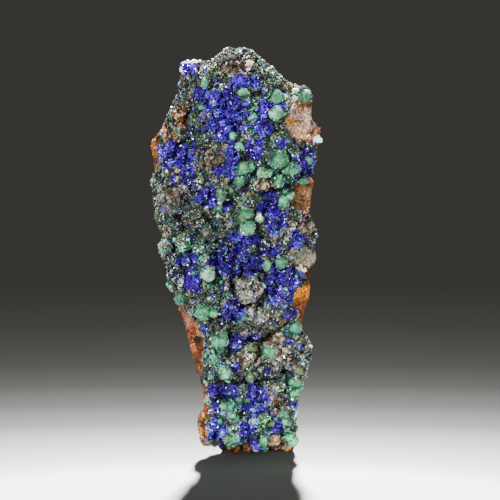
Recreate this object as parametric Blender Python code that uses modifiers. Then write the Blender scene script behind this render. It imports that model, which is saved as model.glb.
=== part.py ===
"""Azurite and malachite specimen: a druzy crust grown over the front of a slab of limonite.

The specimen stands upright on the broken foot of the slab. X runs to the right, Y to the back and Z up.
Outlines and lumps are given in millimetres on the front (X, Z) and turned to metres by MM.
"""

import math
import random

import bmesh
import bpy
from mathutils import Matrix, Vector, noise

MM = 0.001
SEED = 37

# Slab: its front, called the bed, is a low dome that the crust lies on.
BED_DEPTH = 5.0  # how far the middle of the bed stands in front of Y = 0
BED_FALL = 0.011  # how fast the bed falls away to the sides, per mm
BED_WAVE = 0.7  # height of the bed's slow waves
BED_WAVE_UP = 38.0  # length of a wave going up the slab
BED_WAVE_ACROSS = 33.0
SLAB_THICKNESS = 14.5  # from the bed to the back, in the middle
SLAB_EDGE_THICKNESS = 4.0
SLAB_EDGE_SLOPE = 6.0  # width of the slope at the slab's edge
BACK_SWELL = 1.2  # height of the back's slow swells
BACK_SWELL_SIZE = 12.0
LEDGE_HEIGHT = 1.6  # steps across the broken back
LEDGE_SPACING = 13.0
LEDGE_TILT = 0.6  # rise of a ledge for each mm across
LEDGE_DRIFT = 11.0  # how far a ledge wanders up and down
LEDGE_DRIFT_SIZE = 15.0
KNOB_SIZE = 6.0
PIT_SPACING = 4.5
SLAB_CARVE = 1.7  # deepest pit in the sides and back
BED_CARVE = 0.25  # deepest pit in the front, where the crust sits
SLAB_TRIANGLES = 2300

# Crust
GAP = 0.55  # between the bed and the back of the crust
CRUST_THICKNESS = 2.7
CRUST_EDGE_THICKNESS = 0.9
CRUST_EDGE_SLOPE = 2.6
CRUST_ROUGHNESS = 1.25
CRUST_LUMP_SIZE = 3.6
CRUST_TRIANGLES = 1900
JOINED_CRUST_TRIANGLES = 7300  # with its balls and crystals

GRID = 1.0  # size of the cells that both bodies are meshed with
SCULPT_MARGIN = 12.0  # how far the slab is drawn below the foot before it is cut level


# Malachite balls
SMALL_BALL = 1.45  # balls under this radius have fewer faces
BALL_STANDS_OUT = 0.35  # share of its radius that a ball's centre is in front of the crust
BALL_UNEVENNESS = 0.12

# Azurite crystals: blades with a chisel end, in mm, drawn coarser than the real ones.
CRYSTAL_LENGTH = (2.3, 3.4)
CRYSTAL_WIDTH = (1.3, 2.1)
CRYSTAL_THICKNESS = (0.8, 1.2)
CRYSTAL_LEAN = 55.0  # most degrees from straight out
CRYSTAL_STANDS_OUT = 0.3  # share of its length that a crystal's middle is in front of the crust
CRYSTAL_TIP = 0.45  # width of the chisel end against the base
CRYSTAL_BEVEL = 0.25  # drop of the chisel end's sides
CRYSTAL_MARGIN = 0.7  # least distance from the crust's outline

# Outline of the slab, clockwise from its top (X, Z).
SLAB_OUTLINE = (
    (-0.5, 99.5), (3.5, 99.0), (10.0, 93.5), (13.0, 91.0), (17.5, 90.4),
    (18.5, 88.5), (18.5, 84.0), (21.2, 80.8), (21.0, 78.6), (18.3, 75.0),
    (17.7, 71.0), (18.8, 68.0), (18.8, 62.0), (17.8, 60.0), (19.6, 51.0),
    (20.0, 48.5), (18.2, 45.5), (18.4, 41.0), (17.0, 35.5), (15.6, 31.0),
    (17.0, 27.0), (16.6, 22.0), (14.8, 17.0), (15.2, 9.0), (14.2, -SCULPT_MARGIN),
    (-4.0, -SCULPT_MARGIN), (-4.4, 1.4), (-9.4, 5.2), (-8.5, 10.0), (-8.7, 17.0),
    (-11.8, 25.5), (-13.0, 31.5), (-15.0, 38.5), (-16.6, 45.0), (-18.3, 52.0),
    (-17.6, 55.0), (-19.2, 62.0), (-20.1, 69.0), (-21.0, 73.0), (-21.0, 78.7),
    (-18.8, 80.5), (-15.2, 88.0), (-12.6, 94.5), (-11.5, 97.0), (-6.0, 96.8),
    (-3.0, 98.8),
)

# Outline of the crust (X, Z): it leaves the slab bare at the upper right, the lower left and along both sides.
CRUST_OUTLINE = (
    (-0.2, 101.6), (3.6, 101.2), (6.6, 98.4), (13.3, 92.3), (17.0, 91.6),
    (18.0, 89.8), (16.4, 88.4), (12.9, 88.2), (11.5, 83.5), (12.6, 79.6),
    (19.6, 77.4), (18.8, 74.0), (18.2, 70.4), (14.6, 68.5), (13.6, 64.0),
    (14.8, 60.4), (17.8, 60.0), (19.5, 54.3), (19.0, 52.0), (13.6, 51.0),
    (13.0, 47.6), (17.6, 45.2), (17.4, 43.4), (13.6, 42.4), (13.4, 38.4),
    (15.2, 36.0), (15.0, 32.6), (17.9, 29.0), (18.5, 26.6), (17.9, 21.8),
    (15.3, 16.0), (14.6, 10.0), (15.0, 4.4), (12.6, 2.4), (6.0, 1.9),
    (1.0, 2.9), (-2.0, 4.0), (-6.0, 3.6), (-7.7, 5.0), (-6.8, 8.0),
    (-7.4, 17.0), (-8.7, 21.0), (-8.0, 27.6), (-8.8, 31.4), (-14.8, 39.6),
    (-17.1, 43.8), (-17.3, 47.3), (-19.5, 52.2), (-18.3, 55.0), (-19.8, 58.5),
    (-20.5, 66.0), (-21.3, 68.2), (-19.6, 71.2), (-18.9, 78.4), (-17.4, 84.2),
    (-14.4, 90.0), (-13.4, 94.7), (-13.8, 96.4), (-12.3, 98.3), (-6.1, 98.1),
    (-2.8, 101.1),
)

# Swells of the crust: X, Z, half width, half height, rise.
SWELLS = (
    (0.2, 98.7, 6.5, 3.8, 1.6), (-12.7, 87.5, 3.6, 6.5, 0.9), (3.2, 88.7, 3.2, 5.5, 1.0),
    (11.3, 74.2, 5.5, 6.0, 1.8), (2.0, 73.0, 4.0, 2.8, 1.1), (-3.7, 66.2, 3.5, 3.0, 1.1),
    (-14.0, 62.5, 5.5, 8.5, 1.5), (2.4, 60.5, 4.0, 4.2, 1.9), (15.4, 53.8, 3.2, 4.0, 1.0),
    (-17.0, 52.5, 3.2, 2.8, 1.6), (-8.3, 51.3, 2.4, 2.4, 1.4), (2.9, 42.5, 4.8, 4.0, 2.9),
    (5.1, 36.8, 5.5, 2.2, 2.2), (2.5, 33.3, 5.2, 1.9, 2.7), (10.0, 31.3, 2.6, 3.2, 1.6),
    (15.2, 25.8, 3.8, 6.5, 1.9), (-5.4, 28.8, 3.2, 5.5, 1.7), (-2.7, 22.3, 3.2, 2.6, 1.5),
    (3.4, 21.0, 5.5, 1.7, 2.1), (8.8, 15.8, 2.2, 4.2, 1.6), (-2.2, 12.8, 3.4, 2.6, 1.5),
    (-0.5, 6.5, 3.4, 2.4, 1.4), (13.2, 5.0, 2.4, 2.6, 1.3), (7.0, 9.5, 3.6, 2.4, 1.0),
)

# Hollows and crevices of the crust: X, Z, half width, half height, depth.
HOLLOWS = (
    (-3.7, 85.7, 6.0, 7.5, 1.5), (-14.5, 76.2, 4.2, 3.6, 0.9), (-6.6, 65.7, 3.2, 2.2, 1.0),
    (8.1, 64.2, 2.8, 4.4, 1.0), (-5.4, 54.5, 4.0, 1.0, 1.5), (-0.5, 49.8, 7.5, 4.4, 2.2),
    (10.5, 45.0, 4.4, 6.0, 1.2), (2.0, 30.2, 5.5, 1.3, 1.9), (9.5, 34.0, 3.0, 1.0, 1.2),
    (-0.5, 19.0, 7.5, 1.0, 1.6), (-2.7, 15.2, 4.0, 0.9, 1.3),
)

# Malachite balls: X, Z, radius.
MALACHITE_BALLS = (
    (-7.8, 93.2, 1.3), (1.7, 91.2, 1.3), (9.5, 90.0, 1.5), (16.2, 90.4, 1.7), (9.3, 86.2, 1.8),
    (11.2, 85.6, 1.1), (4.2, 85.4, 1.1), (-3.0, 80.2, 1.3), (-0.8, 80.4, 1.1), (0.8, 78.0, 1.3),
    (10.0, 75.0, 2.2), (13.2, 72.8, 2.0), (1.2, 73.0, 1.5), (3.3, 73.0, 1.3), (6.9, 71.8, 1.8),
    (10.0, 69.5, 1.8), (0.8, 69.7, 1.3), (17.2, 74.2, 1.1), (-3.8, 66.8, 1.6), (-1.2, 67.0, 1.0),
    (16.0, 69.3, 1.3), (11.3, 63.9, 1.3), (12.8, 66.2, 1.4), (-4.4, 63.0, 1.3), (2.2, 62.0, 1.8),
    (2.7, 58.3, 1.8), (5.4, 60.7, 1.5), (3.4, 53.0, 1.7), (-13.2, 53.8, 1.6), (-8.4, 51.3, 1.8),
    (-17.3, 52.5, 1.8), (-7.1, 46.8, 1.8), (7.4, 49.0, 1.3), (10.8, 49.3, 1.5), (14.9, 45.4, 1.3),
    (-13.4, 40.0, 1.6), (-8.3, 37.3, 2.1), (-5.8, 36.8, 1.3), (-3.4, 33.8, 1.6), (-4.4, 30.6, 2.3),
    (-4.9, 28.2, 1.5), (-5.6, 24.6, 1.8), (-2.7, 22.4, 1.9), (-6.4, 20.6, 1.3), (3.6, 27.3, 1.4),
    (3.4, 20.6, 1.6), (8.1, 26.3, 2.0), (14.5, 32.5, 1.6), (15.4, 22.6, 1.8), (14.7, 18.4, 1.9),
    (14.4, 15.3, 1.3), (-7.2, 14.8, 1.2), (-2.9, 13.2, 1.8), (-1.2, 11.8, 1.5), (0.8, 15.3, 1.2),
    (6.1, 10.1, 1.4), (11.5, 10.8, 1.3), (12.5, 8.4, 1.6), (13.4, 4.6, 1.8), (-1.2, 5.8, 1.8),
    (6.6, 4.4, 1.3),
)

# Azurite druse: X, Z, half width, half height, crystals.
AZURITE_PATCHES = (
    (-11.5, 95.5, 2.2, 1.8, 5), (1.7, 93.4, 3.6, 1.6, 6), (-4.5, 87.0, 5.0, 6.0, 18),
    (6.6, 84.3, 2.4, 4.0, 6), (-14.6, 75.7, 4.2, 2.8, 8), (-11.8, 70.8, 1.8, 3.4, 4),
    (-0.8, 74.6, 1.8, 4.6, 5), (-6.8, 65.4, 2.8, 2.0, 5), (8.0, 62.4, 2.6, 4.6, 8),
    (16.2, 72.8, 2.2, 2.8, 3), (-0.5, 49.8, 6.4, 3.8, 13), (10.7, 44.8, 4.2, 5.2, 10),
    (-11.6, 46.5, 3.0, 3.6, 7), (-1.0, 37.2, 2.8, 2.8, 6), (1.8, 30.2, 3.6, 1.2, 4),
    (-3.4, 17.2, 4.4, 1.6, 6), (5.2, 14.8, 2.4, 3.8, 6), (-5.2, 7.0, 2.2, 3.2, 4),
    (3.0, 7.4, 2.0, 2.2, 4),
)


def clear_scene():
    for thing in list(bpy.data.objects):
        bpy.data.objects.remove(thing, do_unlink=True)
    for group in list(bpy.data.collections):
        bpy.data.collections.remove(group)


def new_collection(name):
    group = bpy.data.collections.new(name)
    bpy.context.scene.collection.children.link(group)
    return group


def channel(value):
    """One sRGB channel, 0 to 255, as a linear value."""
    share = value / 255.0
    return share / 12.92 if share <= 0.04045 else ((share + 0.055) / 1.055) ** 2.4


def make_material(name, colour, roughness):
    made = bpy.data.materials.new(name)
    made.use_nodes = True
    shader = made.node_tree.nodes["Principled BSDF"]
    linear = [channel((colour >> shift) & 255) for shift in (16, 8, 0)]
    shader.inputs["Base Color"].default_value = (*linear, 1.0)
    shader.inputs["Roughness"].default_value = roughness
    shader.inputs["Metallic"].default_value = 0.0
    return made


def limonite_material():
    """Earthy iron oxide, dull."""
    return make_material("limonite", 0x8A5A38, 0.9)


def azurite_malachite_material():
    """Deep blue crystals and green balls, somewhat glossy."""
    return make_material("azurite_malachite", 0x2A3C86, 0.4)


def new_object(name, mesh, group):
    made = bpy.data.objects.new(name, mesh)
    group.objects.link(made)
    return made


def new_shape(name, mesh, group):
    """A mesh that is only joined to a body, never seen by itself."""
    shape = new_object(name, mesh, group)
    shape.display_type = "WIRE"
    shape.hide_render = True
    return shape


def evaluated_mesh(thing):
    """A copy of the object's mesh with its modifiers applied."""
    bpy.context.view_layer.update()
    graph = bpy.context.evaluated_depsgraph_get()
    return bpy.data.meshes.new_from_object(thing.evaluated_get(graph))


def apply_modifiers(thing):
    mesh = evaluated_mesh(thing)
    thing.modifiers.clear()
    thing.data = mesh


def extruded_outline(name, outline, front, back, group):
    """The outline filled and extruded from Y = front to Y = back, as an evenly meshed body."""
    curve = bpy.data.curves.new(name, "CURVE")
    curve.dimensions = "2D"
    curve.fill_mode = "BOTH"
    curve.extrude = (back - front) / 2 * MM
    spline = curve.splines.new("POLY")
    spline.points.add(len(outline) - 1)
    for point, (x, z) in zip(spline.points, outline):
        point.co = (x * MM, z * MM, 0.0, 1.0)
    spline.use_cyclic_u = True
    drawn = new_object(name + "_outline", curve, group)
    mesh = evaluated_mesh(drawn)
    bpy.data.objects.remove(drawn)
    # The curve is drawn in X and Y and extruded both ways, so it is stood up and moved to lie from front to back.
    upright = Matrix.Rotation(math.radians(90), 4, "X")
    mesh.transform(Matrix.Translation((0, (front + back) / 2 * MM, 0)) @ upright)
    body = new_object(name, mesh, group)
    weld = body.modifiers.new("close the caps", "WELD")
    weld.merge_threshold = 1e-6
    cells = body.modifiers.new("even cells", "REMESH")
    cells.mode = "VOXEL"
    cells.voxel_size = GRID * MM
    apply_modifiers(body)
    return body


def distance_inside(outline, x, z):
    """Distance in mm from a point to the nearest side of the outline."""
    nearest = math.inf
    for (ax, az), (bx, bz) in zip(outline, outline[1:] + outline[:1]):
        dx, dz = bx - ax, bz - az
        along = ((x - ax) * dx + (z - az) * dz) / (dx * dx + dz * dz)
        along = min(1.0, max(0.0, along))
        nearest = min(nearest, math.hypot(x - ax - along * dx, z - az - along * dz))
    return nearest


def rounded(distance, width):
    """A quarter circle from 0 at the edge to 1 at this width inside it."""
    short = 1.0 - min(1.0, distance / width)
    return math.sqrt(1.0 - short * short)


def bump(x, z, centre_x, centre_z, half_width, half_height):
    """1 in the middle of an ellipse, falling smoothly to 0 at its rim."""
    reach = ((x - centre_x) / half_width) ** 2 + ((z - centre_z) / half_height) ** 2
    return (1.0 - reach) ** 2 * (1.0 + reach) if reach < 1.0 else 0.0


def bed(x, z):
    """Y of the slab's front in mm."""
    wave = math.sin(math.tau * z / BED_WAVE_UP) * math.cos(math.tau * (x + z / 3.0) / BED_WAVE_ACROSS)
    return -(BED_DEPTH - BED_FALL * x * x + BED_WAVE * wave)


def ledges(x, z):
    """Broken steps across the back, 0 to LEDGE_HEIGHT."""
    drift = LEDGE_DRIFT * noise.noise(Vector((x, SCULPT_MARGIN, z)) / LEDGE_DRIFT_SIZE)
    slope = (z + LEDGE_TILT * x + drift) / LEDGE_SPACING
    step = slope - math.floor(slope)
    return LEDGE_HEIGHT * min(1.0, 2.6 * step, 4.5 * (1.0 - step))


def slab_back(x, z):
    """Y of the slab's back in mm."""
    edge = min(1.0, distance_inside(SLAB_OUTLINE, x, z) / SLAB_EDGE_SLOPE)
    thickness = SLAB_EDGE_THICKNESS + (SLAB_THICKNESS - SLAB_EDGE_THICKNESS) * edge
    swell = BACK_SWELL * noise.noise(Vector((x, 0.0, z)) / BACK_SWELL_SIZE)
    return bed(x, z) + thickness + swell - ledges(x, z) * edge


def crust_back(x, z):
    return bed(x, z) - GAP


def crust_front(x, z):
    """Y of the crust's face in mm, without its fine roughness."""
    rise = CRUST_THICKNESS
    rise += sum(height * bump(x, z, *place) for *place, height in SWELLS)
    rise -= sum(depth * bump(x, z, *place) for *place, depth in HOLLOWS)
    edge = rounded(distance_inside(CRUST_OUTLINE, x, z), CRUST_EDGE_SLOPE)
    return crust_back(x, z) - CRUST_EDGE_THICKNESS - (rise - CRUST_EDGE_THICKNESS) * edge


def fit_between(body, front, back, drawn_front, drawn_back):
    """Moves each vertex along Y, so that the flat body lies between the front and back surfaces."""
    for vertex in body.data.vertices:
        x, y, z = vertex.co / MM
        share = min(1.0, max(0.0, (y - drawn_front) / (drawn_back - drawn_front)))
        near = front(x, z)
        vertex.co.y = (near + share * (back(x, z) - near)) * MM


def carve_slab(body):
    """Pits and knobs: each vertex goes inwards, so that the bed keeps clear of the crust."""
    normals = [vertex.normal.copy() for vertex in body.data.vertices]
    for vertex, normal in zip(body.data.vertices, normals):
        place = vertex.co / MM
        rough = noise.fractal(place / KNOB_SIZE, 0.7, 2.1, 4, noise_basis="PERLIN_ORIGINAL")
        pits = noise.voronoi(place / PIT_SPACING)[0][0]
        share = min(1.0, max(0.0, 0.45 + 0.5 * rough + 0.6 * (0.5 - pits)))
        facing_front = max(0.0, -normal.y)
        depth = SLAB_CARVE + (BED_CARVE - SLAB_CARVE) * facing_front
        vertex.co -= normal * (depth * share * MM)


def roughen_crust(body):
    """Lumps on the face of the crust; its back stays on the bed."""
    normals = [vertex.normal.copy() for vertex in body.data.vertices]
    for vertex, normal in zip(body.data.vertices, normals):
        place = vertex.co / MM
        lumps = noise.fractal(place / CRUST_LUMP_SIZE, 0.8, 2.2, 3, noise_basis="PERLIN_ORIGINAL")
        facing_front = max(0.0, min(1.0, 0.35 - normal.y))
        vertex.co += normal * (CRUST_ROUGHNESS * lumps * facing_front * MM)
        highest = crust_back(place.x, place.z) * MM
        vertex.co.y = min(vertex.co.y, highest)


def thin_out(body, triangles):
    """Fewer triangles, keeping the form. Modifiers that the body already has come first."""
    joined = evaluated_mesh(body)
    joined.calc_loop_triangles()
    fewer = body.modifiers.new("thin out", "DECIMATE")
    fewer.ratio = triangles / len(joined.loop_triangles)
    fewer.use_collapse_triangulate = True
    apply_modifiers(body)


def cut_foot(body):
    """Cuts the body level at Z = 0 and closes the cut with one flat face."""
    mesh = bmesh.new()
    mesh.from_mesh(body.data)
    cut = bmesh.ops.bisect_plane(
        mesh, geom=mesh.verts[:] + mesh.edges[:] + mesh.faces[:],
        plane_co=(0, 0, 0), plane_no=(0, 0, 1), clear_inner=True,
    )
    rim = [part for part in cut["geom_cut"] if isinstance(part, bmesh.types.BMEdge)]
    bmesh.ops.edgeloop_fill(mesh, edges=rim)
    bmesh.ops.triangulate(mesh, faces=mesh.faces[:])
    bmesh.ops.recalc_face_normals(mesh, faces=mesh.faces[:])
    mesh.to_mesh(body.data)
    mesh.free()


def limonite_matrix(group):
    drawn_front, drawn_back = -BED_DEPTH, SLAB_THICKNESS - BED_DEPTH
    slab = extruded_outline("limonite_matrix", SLAB_OUTLINE, drawn_front, drawn_back, group)
    fit_between(slab, bed, slab_back, drawn_front, drawn_back)
    carve_slab(slab)
    thin_out(slab, SLAB_TRIANGLES)
    cut_foot(slab)
    slab.data.materials.clear()
    slab.data.materials.append(limonite_material())
    return slab


def crust_base(group):
    drawn_front, drawn_back = -BED_DEPTH - CRUST_THICKNESS, -BED_DEPTH
    base = extruded_outline("azurite_malachite_crust", CRUST_OUTLINE, drawn_front, drawn_back, group)
    fit_between(base, crust_front, crust_back, drawn_front, drawn_back)
    roughen_crust(base)
    thin_out(base, CRUST_TRIANGLES)
    return base


def face_of(base, x, z):
    """Y in mm of the crust's roughened face, or None beside it."""
    start = Vector((x, -SCULPT_MARGIN - SLAB_THICKNESS, z)) * MM
    found, spot, _, _ = base.ray_cast(start, Vector((0, 1, 0)))
    return spot.y / MM if found else None


def add_ball(mesh, base, x, z, radius):
    """A knobbly ball, two thirds out of the crust."""
    y = face_of(base, x, z) - BALL_STANDS_OUT * radius
    turn = Matrix.Rotation(x + z, 4, Vector((1, 2, 3)))
    place = Matrix.Translation((x * MM, y * MM, z * MM)) @ turn
    steps = 1 if radius < SMALL_BALL else 2
    made = bmesh.ops.create_icosphere(mesh, subdivisions=steps, radius=radius * MM, matrix=place)
    centre = place.translation
    for vertex in made["verts"]:
        uneven = 1.0 + BALL_UNEVENNESS * noise.noise(vertex.co / MM)
        vertex.co = centre + (vertex.co - centre) * uneven


def malachite_balls(base, group):
    mesh = bmesh.new()
    for ball in MALACHITE_BALLS:
        add_ball(mesh, base, *ball)
    balls = bpy.data.meshes.new("malachite_balls")
    mesh.to_mesh(balls)
    mesh.free()
    return new_shape("malachite_balls", balls, group)


def add_crystal(mesh, pick, x, y, z):
    """A flat blade with a chisel end, leaning out of the crust's face at this Y."""
    length = pick.uniform(*CRYSTAL_LENGTH)
    width = pick.uniform(*CRYSTAL_WIDTH)
    thickness = pick.uniform(*CRYSTAL_THICKNESS)
    blade = bmesh.ops.create_cube(mesh, size=1.0)["verts"]
    for vertex in blade:
        if vertex.co.z > 0:
            vertex.co.x *= CRYSTAL_TIP
            vertex.co.z -= CRYSTAL_BEVEL * abs(vertex.co.y)
    lean = Matrix.Rotation(math.radians(pick.uniform(-CRYSTAL_LEAN, CRYSTAL_LEAN)), 4, "X")
    side = Matrix.Rotation(math.radians(pick.uniform(-CRYSTAL_LEAN, CRYSTAL_LEAN)), 4, "Z")
    outwards = Matrix.Rotation(math.radians(90), 4, "X")
    spin = Matrix.Rotation(pick.uniform(0.0, math.tau), 4, "Z")
    shape = Matrix.Diagonal((width * MM, thickness * MM, length * MM, 1.0))
    place = Matrix.Translation((x * MM, (y - CRYSTAL_STANDS_OUT * length) * MM, z * MM))
    bmesh.ops.transform(mesh, verts=blade, matrix=place @ side @ lean @ outwards @ spin @ shape)


def azurite_crystals(base, group):
    pick = random.Random(SEED)
    mesh = bmesh.new()
    for x, z, half_width, half_height, count in AZURITE_PATCHES:
        for _ in range(count):
            angle = pick.uniform(0.0, math.tau)
            reach = math.sqrt(pick.random())
            across = x + half_width * reach * math.cos(angle)
            up = z + half_height * reach * math.sin(angle)
            face = face_of(base, across, up)
            if face and distance_inside(CRUST_OUTLINE, across, up) > CRYSTAL_MARGIN:
                add_crystal(mesh, pick, across, face, up)
    crystals = bpy.data.meshes.new("azurite_crystals")
    mesh.to_mesh(crystals)
    mesh.free()
    return new_shape("azurite_crystals", crystals, group)


def join_shape(body, shape):
    """Unites the body with a mesh whose own pieces may overlap each other."""
    join = body.modifiers.new("join " + shape.name, "BOOLEAN")
    join.operation = "UNION"
    join.solver = "EXACT"
    join.use_self = True
    join.object = shape


def azurite_malachite_crust(group, shapes):
    crust = crust_base(group)
    growths = (malachite_balls(crust, shapes), azurite_crystals(crust, shapes))
    for shape in growths:
        join_shape(crust, shape)
    thin_out(crust, JOINED_CRUST_TRIANGLES)
    crust.data.materials.clear()
    crust.data.materials.append(azurite_malachite_material())
    return crust


def main():
    clear_scene()
    specimen = new_collection("azurite_specimen")
    shapes = new_collection("joined_shapes")
    shapes.hide_render = True
    limonite_matrix(specimen)
    azurite_malachite_crust(specimen, shapes)


main()
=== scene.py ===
"""Azurite and malachite specimen: its limonite rock, the druzy crust, the crystals and the malachite balls.

Places on the specimen's face are given in millimetres, X to the right and Z up, and each piece is grown on
the surface that it finds there. The front looks towards minus Y.
"""

import math

import bmesh
import bpy
import numpy as np
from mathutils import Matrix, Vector, noise
from mathutils.bvhtree import BVHTree


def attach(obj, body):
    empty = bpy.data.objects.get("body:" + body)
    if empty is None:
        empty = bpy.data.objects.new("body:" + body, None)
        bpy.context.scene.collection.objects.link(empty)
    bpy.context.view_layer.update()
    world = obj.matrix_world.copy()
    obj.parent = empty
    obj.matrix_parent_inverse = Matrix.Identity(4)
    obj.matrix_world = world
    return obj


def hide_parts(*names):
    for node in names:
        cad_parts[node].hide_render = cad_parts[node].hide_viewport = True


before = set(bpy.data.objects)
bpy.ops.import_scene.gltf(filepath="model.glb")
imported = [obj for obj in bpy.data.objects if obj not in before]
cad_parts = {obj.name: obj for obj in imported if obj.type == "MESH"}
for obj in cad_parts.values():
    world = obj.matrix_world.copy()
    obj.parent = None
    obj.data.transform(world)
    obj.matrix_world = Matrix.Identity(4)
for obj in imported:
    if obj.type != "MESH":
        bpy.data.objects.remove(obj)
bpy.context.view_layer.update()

MM = 0.001
SEED = 11
FORWARDS = (0.0, -1.0, 0.0)
CRUST = "azurite_malachite_crust"
ROCK = "limonite_matrix"

# Sizes are in millimetres and angles in degrees.
# ---------------------------------------------------------------- camera and stage
CAMERA_ELEVATION = 11.0
CAMERA_LENS = 150.0
CAMERA_DISTANCE = 510.0
AIM = (3.2, -4.0, 51.8)
FLOOR_MIDDLE = (0.0, -40.0, 0.0)
FLOOR_RADIUS = 480.0
FADE_REACH = 240.0
FADE_SQUEEZE = 0.35  # sideways the paper fades this much more slowly
# The paper's fade into the dark backdrop is a painted pool of light, standing in for the lamps' light falling
# off.
# How solid the paper is at distances from its middle, from white for solid to black for gone.
PAINTED_POOL_OF_LIGHT = (
    (22, 0xFFFFFF), (31, 0xC7C7C7), (46, 0x959595), (64, 0x5C5C5C), (83, 0x3B3B3B), (104, 0x242424),
    (127, 0x161616), (151, 0x0E0E0E), (178, 0x070707), (207, 0x030303), (240, 0x000000),
)

# ---------------------------------------------------------------- relief of the rock and the crust
# Cells are those of the fine copies. The others are a size or a spacing, and how high or deep it is. The
# shift gives the lumps a pattern of their own.
ROCK_CELL, CRUST_CELL = 0.48, 0.42
KNOB_SIZE, KNOB_RISE = 2.4, 0.6
LEDGE_SIZE, LEDGE_RISE, LEDGES_PER_STEP = 5.0, 0.6, 2.5
PIT_SPACING, PIT_DEPTH = 2.0, 0.7
ROSETTE, ROSETTE_RISE = 2.9, 1.3
LUMP, LUMP_RISE, LUMP_SHIFT = 1.3, 0.7, 5.0
SWELL, SWELL_RISE = 3.6, 0.45
CLEFT_WIDTH, CLEFT_DEPTH = 0.9, 1.1
CREVICE_WIDTH = 0.45  # as a share of the spacing of the rosettes
# How much of a ball's radius its middle lies behind the solid's face, and how deep the crust lies under it.
BALL_SUNK, UNDER_BALL = 0.8, 0.35
BIG_BALL, BUD_SPACING = 1.2, 0.55

# ---------------------------------------------------------------- sizes of the grains
# Real druse and azurite blades of this kind are 0.1 to 0.8 long. They are drawn from 0.3 up, a little coarser
# than the finest, so that a million triangles reach over the whole face.
BLADE_WIDTH, BLADE_THICKNESS, BLADE_LENGTH = (0.25, 0.6), (0.15, 0.35), (0.4, 0.95)
OVERGROWTH_SIZE, BEAD_RADIUS, MOST_BEADS = (0.25, 0.6), (0.25, 0.62), 260
# Of these, the smallest size, and how much larger the largest is.
DRUSE_SIZE, GREY_SIZE, KNOB_GRAIN_SIZE, GRIT_SIZE = (0.3, 0.5), (0.3, 0.3), (0.3, 0.5), (0.22, 0.75)
# How far apart the grains of each piece are.
AZURITE_GAP, DRUSE_GAP, OVERGROWTH_GAP, KNOB_GAP, GRIT_GAP = 0.385, 0.40, 0.38, 0.3, 0.5
# Azurite is two meshes, parted at this height: one would pass 200,000 triangles.
AZURITE_PARTED = 58.0

# ---------------------------------------------------------------- fields on the face
# Each is an ellipse: X, Z, half width, half height.
AZURITE_FIELDS = (
    (-11.5, 97.0, 2.3, 1.9), (1.5, 93.5, 3.9, 1.6), (-8.0, 90.5, 2.5, 1.9), (-3.0, 86.0, 4.9, 6.2),
    (6.5, 84.5, 2.1, 4.4), (10.0, 88.0, 1.8, 1.2), (-14.5, 75.5, 4.7, 3.1), (-12.0, 71.0, 1.7, 3.7),
    (-1.0, 75.0, 1.8, 5.0), (-3.0, 72.0, 2.5, 1.5), (4.0, 77.5, 2.1, 2.5), (-15.0, 69.0, 1.0, 1.6),
    (-7.0, 65.5, 3.1, 2.4), (-2.5, 63.5, 1.2, 1.4), (8.0, 62.5, 2.6, 4.0), (9.6, 59.3, 2.4, 3.6),
    (16.5, 73.0, 2.5, 3.1), (11.0, 78.5, 1.0, 1.0), (12.0, 67.5, 0.7, 1.5), (12.0, 62.5, 0.5, 0.6),
    (2.0, 55.5, 3.9, 1.9), (-0.5, 50.0, 6.6, 4.0), (11.0, 44.0, 4.7, 5.5), (14.8, 54.7, 2.0, 2.2),
    (8.5, 52.6, 2.3, 1.6), (-12.0, 50.0, 3.1, 1.5), (-11.0, 45.0, 2.1, 3.2), (-0.4, 37.5, 2.5, 3.0),
    (13.0, 36.5, 1.5, 1.5), (-8.0, 32.5, 1.0, 1.2), (2.0, 30.5, 4.2, 1.5), (-0.5, 28.5, 1.5, 1.6),
    (-0.5, 23.0, 1.2, 1.9), (12.5, 29.5, 1.5, 1.1), (15.5, 28.0, 0.7, 0.9), (7.5, 22.0, 0.9, 0.9),
    (-3.5, 17.0, 4.3, 1.9), (5.0, 15.0, 2.5, 4.2), (-5.0, 13.0, 1.1, 1.9), (2.0, 12.5, 1.7, 1.2),
    (-5.0, 7.0, 2.2, 4.1), (3.0, 7.5, 2.1, 2.0), (5.0, 3.5, 1.1, 1.4), (0.5, 5.5, 0.9, 0.7),
    (14.0, 13.0, 0.9, 0.9), (10.0, 8.0, 1.6, 1.9), (17.3, 89.2, 1.0, 0.9),
)
MALACHITE_FIELDS = (
    (9.6, 90.5, 3.4, 1.7), (10.0, 86.0, 2.2, 2.7), (11.5, 71.5, 3.9, 6.7), (-10.5, 52.5, 4.7, 2.5),
    (-6.0, 45.5, 4.5, 2.9), (-8.5, 37.0, 3.1, 1.9), (-5.0, 26.0, 2.6, 4.4), (13.5, 32.0, 3.1, 2.1),
    (14.5, 17.0, 2.2, 2.7), (-1.5, 13.5, 4.0, 2.7), (7.0, 8.0, 8.6, 4.0), (4.0, 87.0, 2.3, 4.4),
    (-2.5, 80.0, 3.1, 1.5), (3.0, 71.5, 3.2, 3.4),
)
BROWN_FIELDS = (
    (6.5, 70.5, 3.9, 3.1), (-6.0, 75.5, 3.1, 3.1), (15.5, 51.0, 2.7, 2.7), (16.8, 57.4, 2.4, 3.2),
    (11.0, 29.0, 4.3, 5.5), (3.0, 25.5, 3.2, 2.1), (9.0, 15.5, 1.6, 3.5), (10.5, 12.0, 2.7, 1.9),
    (-0.5, 97.0, 3.2, 3.5), (-14.5, 68.0, 3.1, 4.4),
)
RUST_FIELDS = ((-13.2, 85.2, 2.0, 3.0), (-17.3, 81.2, 1.4, 1.3), (-16.0, 79.4, 2.4, 1.3))
GREY_FIELDS = (
    (3.0, 42.5, 3.9, 3.2), (2.5, 33.0, 4.3, 1.9), (5.5, 36.5, 4.9, 2.5), (-17.0, 64.0, 2.6, 2.6),
    (-19.5, 53.0, 1.8, 2.1), (11.0, 24.5, 3.3, 2.9), (12.6, 56.8, 2.2, 2.0), (13.2, 88.6, 1.9, 2.6),
)
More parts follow.
